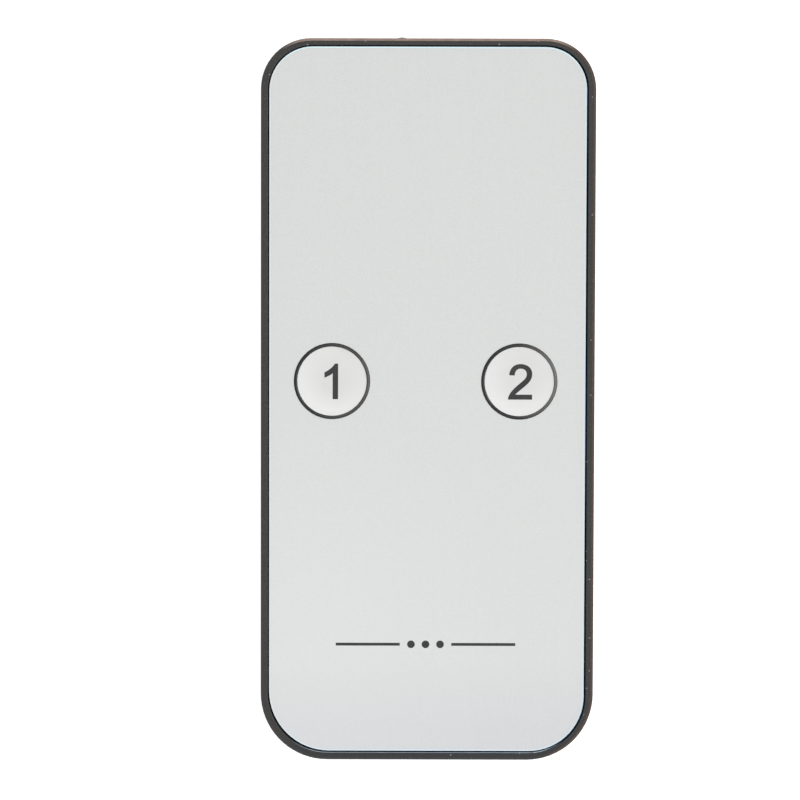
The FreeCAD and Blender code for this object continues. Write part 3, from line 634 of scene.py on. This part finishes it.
# Painted light: the print of a key is made paler towards its ring, most on the side of the foot, in place of
# the shading of its dish
def makeKeyFilm(number):
    values = keyFilm
    material, tree, shader = newMaterial(f"key film {number}", {
        "Coat Weight": 0.3, "Coat Roughness": 0.2, "IOR": 1.5})
    outward = placeGroup(tree, centreReach, {
        "Centre": centreOf(f"key_{number}_film"), "Low": values["paintedLightFrom"], "High": values["paintedLightTo"]})
    side = keySide(tree, number, values["paintedLightTowards"], low=-1.0, high=1.0)
    share = spread(tree, side, toLow=values["paintedLightLeast"])
    colour = tint(tree, driftColour(tree, values), product(tree, outward, share), values["paintedLightColour"])
    finishSurface(tree, shader, values, colour, grainOf(tree, values))
    return material


ringInk = {
    "colours": [(0.0060, 0.0060, 0.0068), (0.0095, 0.0095, 0.0098)],
    "drift": (3 * mm, 3 * mm, 3 * mm),
    # painted highlights along the crest and on the right side of each ring
    "crest": {"Low": 0.94, "High": 0.998},
    "crestColour": (0.034, 0.034, 0.034),
    "grain": (0.5 * mm, 0.5 * mm, 0.5 * mm),
    "grainDepth": 0.006 * mm,
    "roughness": (0.14, 0.24),
    "highlights": {1: (0.078, 0.074, 0.069), 2: (0.152, 0.150, 0.144)},
    "highlightTowards": {1: -8, 2: 0},
    "highlightSpread": {1: (-0.3, 1.0), 2: (0.0, 0.98)},
}


# The gloss ink of the key rings has painted highlights: lighter along the crest, and grey on the right side,
# in place of the reflections of the lamps
def makeGlossRing(number):
    values = ringInk
    material, tree, shader = newMaterial(f"dark gloss ring {number}", {
        "Specular IOR Level": 0.32, "IOR": 1.5})
    crest = placeGroup(tree, crestLine, values["crest"])
    colour = tint(tree, driftColour(tree, values), crest, values["crestColour"])
    side = keySide(tree, number, values["highlightTowards"][number], *values["highlightSpread"][number])
    colour = tint(tree, colour, side, values["highlights"][number])
    finishSurface(tree, shader, values, colour, grainOf(tree, values), strength=0.5)
    return material


materials = {slot: makePlain(*kind) for slot, kind in plainKinds.items()}
materials["case_plastic"] = makeCasePlastic()
materials["face_film"] = makeFaceFilm()
materials["board_laminate"] = makeBoard()
byNode = {
    **{node: makeEndCapped(*kind) for node, kind in chipParts.items()},
    **{f"key_{number}_film": makeKeyFilm(number) for number in (1, 2)},
    "cell_can": makeTurnedSteel("turned cell can", "cell_can"),
    "cell_cap": makeTurnedSteel("turned cell cap", "cell_cap"),
}
glossRings = {number: makeGlossRing(number) for number in (1, 2)}
darkInk = makePlain("dark printing ink", printInk, {"Specular IOR Level": 0.25, "IOR": 1.5})
for node, thing in nodes.items():
    slotName = thing.data.materials[0].name
    thing.data.materials[0] = byNode.get(node) or materials[slotName]
print("materials built and given out")


# Camera: it looks down at the keys from 550 mm, leaning a little towards the lamp end

cameraSetup = {
    "distance": 550 * mm,
    "aimHeight": 6.65 * mm,
    "lean": 4.339,
    "roll": 0.151,
    "pixelsPerMm": 8.3416,
    "aimPixel": (427.66, 401.06),
    "frame": 800,
    "sensor": 36.0,
    "clip": (0.02, 20.0),
}


def makeCamera():
    c = cameraSetup
    lean = math.radians(c["lean"])
    roll = math.radians(c["roll"])
    back = Vector((0, math.sin(lean), math.cos(lean)))
    rightLevel = Vector((1, 0, 0))
    upLevel = Vector((0, math.cos(lean), -math.sin(lean)))
    right = rightLevel * math.cos(roll) + upLevel * math.sin(roll)
    up = upLevel * math.cos(roll) - rightLevel * math.sin(roll)
    across = (c["aimPixel"][0] - c["frame"] / 2) / c["pixelsPerMm"] * mm
    above = (c["frame"] / 2 - c["aimPixel"][1]) / c["pixelsPerMm"] * mm
    data = bpy.data.cameras.new("camera")
    data.sensor_fit = "HORIZONTAL"
    data.sensor_width = c["sensor"]
    focalPixels = c["pixelsPerMm"] * c["distance"] / mm
    data.lens = focalPixels * c["sensor"] / c["frame"]
    data.clip_start, data.clip_end = c["clip"]
    camera = addObject("camera", data)
    turn = Matrix((right, up, back)).transposed().to_4x4()
    aim = Vector((0, 0, c["aimHeight"]))
    place = aim + back * c["distance"] - right * across - up * above
    camera.matrix_world = Matrix.Translation(place) @ turn
    bpy.context.scene.camera = camera


makeCamera()


# Meshes made here

printGrid = 0.5 * mm
curveSteps = 10


def addMesh(name, vertices, faces, material, smooth=False):
    mesh = bpy.data.meshes.new(name)
    mesh.from_pydata([tuple(v) for v in vertices], [], faces)
    mesh.validate()
    for polygon in mesh.polygons:
        polygon.use_smooth = smooth
    mesh.materials.append(material)
    return addObject(name, mesh)


# A closed profile of (radius, height) points turned about an upright line through a centre
def turnedPiece(name, centre, profile, steps, material):
    vertices = []
    for step in range(steps):
        angle = 2 * math.pi * step / steps
        for radius, height in profile:
            vertices.append((centre.x + radius * math.cos(angle),
                             centre.y + radius * math.sin(angle), height))
    count = len(profile)
    faces = []
    for step in range(steps):
        here = step * count
        there = ((step + 1) % steps) * count
        for index in range(count):
            following = (index + 1) % count
            faces.append((here + index, there + index, there + following, here + following))
    return addMesh(name, vertices, faces, material, smooth=True)


# Cuts a flat print along a grid, so that it can bend, and lays it on the piece under it
def layOn(mesh, under, thickness):
    work = bmesh.new()
    work.from_mesh(mesh)
    for axis in (0, 1):
        places = [v.co[axis] for v in work.verts]
        for line in range(math.ceil(min(places) / printGrid), math.floor(max(places) / printGrid) + 1):
            point = [0, 0, 0]
            normal = [0, 0, 0]
            point[axis] = line * printGrid
            normal[axis] = 1
            bmesh.ops.bisect_plane(work, geom=work.verts[:] + work.edges[:] + work.faces[:], plane_co=point,
                                   plane_no=normal)
    below = nodes[under].data
    surface = BVHTree.FromPolygons([v.co for v in below.vertices], [p.vertices for p in below.polygons])
    for vertex in work.verts:
        start = Vector((vertex.co.x, vertex.co.y, 1))        # well above the piece
        level = surface.ray_cast(start, Vector((0, 0, -1)))[0].z
        vertex.co.z = level + (thickness if vertex.co.z > 0 else -thickness)
    work.to_mesh(mesh)
    work.free()


# Outlines of curves filled flat, then laid on the surface of a piece: each point is (place, handle before,
# handle after), in mm
def printedShape(name, outlines, centre, under, thickness, material):
    curve = bpy.data.curves.new(name, "CURVE")
    curve.dimensions = "2D"
    curve.fill_mode = "BOTH"
    curve.resolution_u = curveSteps
    curve.extrude = thickness / 2
    for outline in outlines:
        spline = curve.splines.new("BEZIER")
        spline.bezier_points.add(len(outline) - 1)
        spline.use_cyclic_u = True
        for point, (place, before, after) in zip(spline.bezier_points, outline):
            point.handle_left_type = "FREE"
            point.handle_right_type = "FREE"
            for field, pair in (("co", place), ("handle_left", before), ("handle_right", after)):
                setattr(point, field, (pair[0] * mm, pair[1] * mm, 0))
    holder = bpy.data.objects.new(name + "_outline", curve)
    mesh = bpy.data.meshes.new_from_object(holder)
    bpy.data.objects.remove(holder)
    mesh.transform(Matrix.Translation((centre.x, centre.y, 0)))
    layOn(mesh, under, thickness)
    mesh.name = name
    mesh.materials.clear()
    mesh.materials.append(material)
    return addObject(name, mesh)


# A straight-sided corner has both handles on itself
def corner(x, y):
    return ((x, y), (x, y), (x, y))


numberPrint = {
    "thickness": 0.012 * mm,
    "one": [
        corner(0.728, -2.17), corner(0.728, 2.10),
        ((0.35, 2.10), (0.35, 2.10), (0.09, 1.67)),
        ((-0.90, 1.045), (-0.45, 1.235), (-0.90, 1.045)),
        ((-0.90, 0.385), (-0.90, 0.385), (-0.50, 0.555)),
        ((0.081, 0.95), (-0.12, 0.745), (0.081, 0.95)),
        corner(0.081, -2.17),
    ],
    "two": [
        ((-1.206, 0.75), (-1.206, 0.75), (-1.15, 1.60)),
        ((0.15, 2.10), (-0.64, 2.10), (0.98, 2.10)),
        ((1.555, 0.88), (1.555, 1.62), (1.555, 0.36)),
        ((0.80, -0.47), (1.24, -0.08), (0.36, -0.86)),
        ((-0.46, -1.577), (-0.23, -1.29), (-0.46, -1.577)),
        corner(1.54, -1.577), corner(1.54, -2.174),
        ((-1.345, -2.174), (-1.345, -2.174), (-1.36, -1.36)),
        ((0.42, 0.05), (-0.27, -0.53), (0.75, 0.32)),
        ((0.90, 0.90), (0.90, 0.58), (0.90, 1.29)),
        ((0.16, 1.545), (0.58, 1.545), (-0.29, 1.545)),
        ((-0.555, 0.72), (-0.53, 1.20), (-0.555, 0.72)),
    ],
}
ringSkin = {"width": 0.37 * mm, "rise": 0.12 * mm, "drop": 0.08 * mm, "foot": 0.14 * mm, "skin": 0.012 * mm,
            "arcSteps": 18, "fadeSteps": 2, "steps": 160}


# The ring is a dark skin over the bead at the edge of the key. The bead is an arc from its inner foot, over
# the crest, to a point as far as drop below that foot, and a straight wall under it.
def makeRing(number):
    c = ringSkin
    low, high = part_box(f"key_{number}_film")
    outer = (high.x - low.x) / 2
    half = c["width"] / 2
    rise = c["rise"]
    drop = c["drop"]
    flat = high.z - rise
    ballHeight = (2 * rise ** 2 - 2 * half ** 2 - drop ** 2) / (2 * (2 * rise + drop))
    ballAcross = ((rise ** 2 - half ** 2) / 2 - rise * ballHeight) / half
    ball = math.hypot(ballAcross, rise - ballHeight)
    first = math.atan2(-drop - ballHeight, half - ballAcross)
    last = math.atan2(-ballHeight, -half - ballAcross)
    middle = outer - half + ballAcross
    outside = [(outer + c["skin"], flat - drop - c["foot"])]
    inside = [(outer - c["skin"], flat - drop - c["foot"])]
    for step in range(c["arcSteps"] + 1):
        angle = first + (last - first) * step / c["arcSteps"]
        fade = min(1.0, (c["arcSteps"] - step) / c["fadeSteps"])
        for points, radius in ((outside, ball + c["skin"] * fade), (inside, ball - c["skin"])):
            points.append((middle + radius * math.cos(angle), flat + ballHeight + radius * math.sin(angle)))
    ringPiece = turnedPiece(f"key_{number}_ring", (low + high) / 2, outside + inside[::-1],
                            c["steps"], glossRings[number])
    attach(ringPiece, f"key_{number}")


def makeKeyPrints():
    for number, digit in ((1, "one"), (2, "two")):
        makeRing(number)
        node = f"key_{number}_film"
        figure = printedShape(f"key_{number}_figure", [numberPrint[digit]], centreOf(node), node,
                              numberPrint["thickness"], darkInk)
        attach(figure, f"key_{number}")


makeKeyPrints()
print("key rings and figures made")


# A plain divider printed near the foot: a bar, three dots and a bar, with an outline in plain mm
dividerPrint = {
    "place": (-0.17 * mm, -29.35 * mm),
    "halfWidth": 10.8,
    "barStart": 3.1,
    "barHeight": 0.34,
    "dotRadius": 0.46,
    "dotSpacing": 1.75,
    "thickness": 0.012 * mm,
}


def roundOutline(x, y, radius):
    lean = radius * 4 / 3 * math.tan(math.pi / 8)
    return [
        ((x + radius, y), (x + radius, y - lean), (x + radius, y + lean)),
        ((x, y + radius), (x + lean, y + radius), (x - lean, y + radius)),
        ((x - radius, y), (x - radius, y + lean), (x - radius, y - lean)),
        ((x, y - radius), (x - lean, y - radius), (x + lean, y - radius)),
    ]


def makeDivider():
    c = dividerPrint
    outlines = [roundOutline(step * c["dotSpacing"], 0, c["dotRadius"]) for step in (-1, 0, 1)]
    half = c["barHeight"] / 2
    for side in (-1, 1):
        near = side * c["barStart"]
        far = side * c["halfWidth"]
        low, high = sorted((near, far))
        outlines.append([corner(low, -half), corner(high, -half), corner(high, half), corner(low, half)])
    centre = Vector((*c["place"], 0))
    divider = printedShape("face_divider_print", outlines, centre, "face_film", c["thickness"], darkInk)
    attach(divider, "case")


makeDivider()


# Floor, world and lamps

stageSetup = {
    "floorSize": 6.0,
    "floorDrop": 0.02 * mm,
    "floorColour": (0.86, 0.86, 0.86),
    "cameraGlow": 0.76,
    "mirrorGlow": 0.2,
    "fill": 0.36,
}


# The table and the background show their glow to the camera, and in mirrors and through glass
def seenDirectly(tree, glossy):
    paths = addNode(tree, "ShaderNodeLightPath").outputs
    mirror = compute(tree, "MAXIMUM", paths["Is Glossy Ray"], paths["Is Transmission Ray"])
    return paths["Is Camera Ray"], compute(tree, "MULTIPLY", mirror, glossy)


def makeFloor():
    c = stageSetup
    half = c["floorSize"] / 2
    level = -c["floorDrop"]
    material, tree, shader = newMaterial("white table", {
        "Base Color": rgba(c["floorColour"]), "Roughness": 0.9, "Specular IOR Level": 0.1,
        "Emission Color": (1, 1, 1, 1)})
    camera, mirror = seenDirectly(tree, c["mirrorGlow"])
    glow = compute(tree, "MULTIPLY", camera, c["cameraGlow"])
    feed(tree, shader["Emission Strength"], compute(tree, "ADD", glow, mirror))
    floor = addMesh("table_top", [(-half, -half, level), (half, -half, level), (half, half, level),
                                  (-half, half, level)], [(0, 1, 2, 3)], material)


def makeWorld():
    world = bpy.data.worlds.new("studio")
    world.use_nodes = True
    tree = world.node_tree
    background = tree.nodes["Background"].inputs
    background["Color"].default_value = (1, 1, 1, 1)
    seen = compute(tree, "MAXIMUM", *seenDirectly(tree, 1.0))
    feed(tree, background["Strength"], spread(tree, seen, toLow=stageSetup["fill"]))
    bpy.context.scene.world = world


# Softboxes: compass direction from +X towards +Y, height above the table, size and brightness of the panel
lamps = {
    "end_softbox": {"compass": 93, "rise": 40, "distance": 2.5, "size": (2.2, 1.4), "radiance": 1.75,
                    "colour": (1.0, 0.99, 0.98)},
    "side_softbox": {"compass": 4, "rise": 48, "distance": 2.5, "size": (1.8, 1.5), "radiance": 4.0,
                     "colour": (0.99, 1.0, 1.0)},
    "overhead_softbox": {"compass": 270, "rise": 70, "distance": 2.5, "size": (1.0, 1.0), "radiance": 1.5,
                         "colour": (1.0, 1.0, 1.0)},
}


def makeLamps():
    for name, c in lamps.items():
        compass = math.radians(c["compass"])
        rise = math.radians(c["rise"])
        direction = Vector((math.cos(compass) * math.cos(rise), math.sin(compass) * math.cos(rise),
                            math.sin(rise)))
        data = bpy.data.lights.new(name, "AREA")
        data.shape = "RECTANGLE"
        data.size, data.size_y = c["size"]
        data.energy = c["radiance"] * math.pi * data.size * data.size_y
        data.color = c["colour"]
        lamp = addObject(name, data)
        lamp.location = direction * c["distance"]
        lamp.rotation_mode = "QUATERNION"
        lamp.rotation_quaternion = (-direction).to_track_quat("-Z", "Y")


makeFloor()
makeWorld()
makeLamps()
bpy.context.scene.view_settings.view_transform = "Standard"
print("floor, world and lamps made")
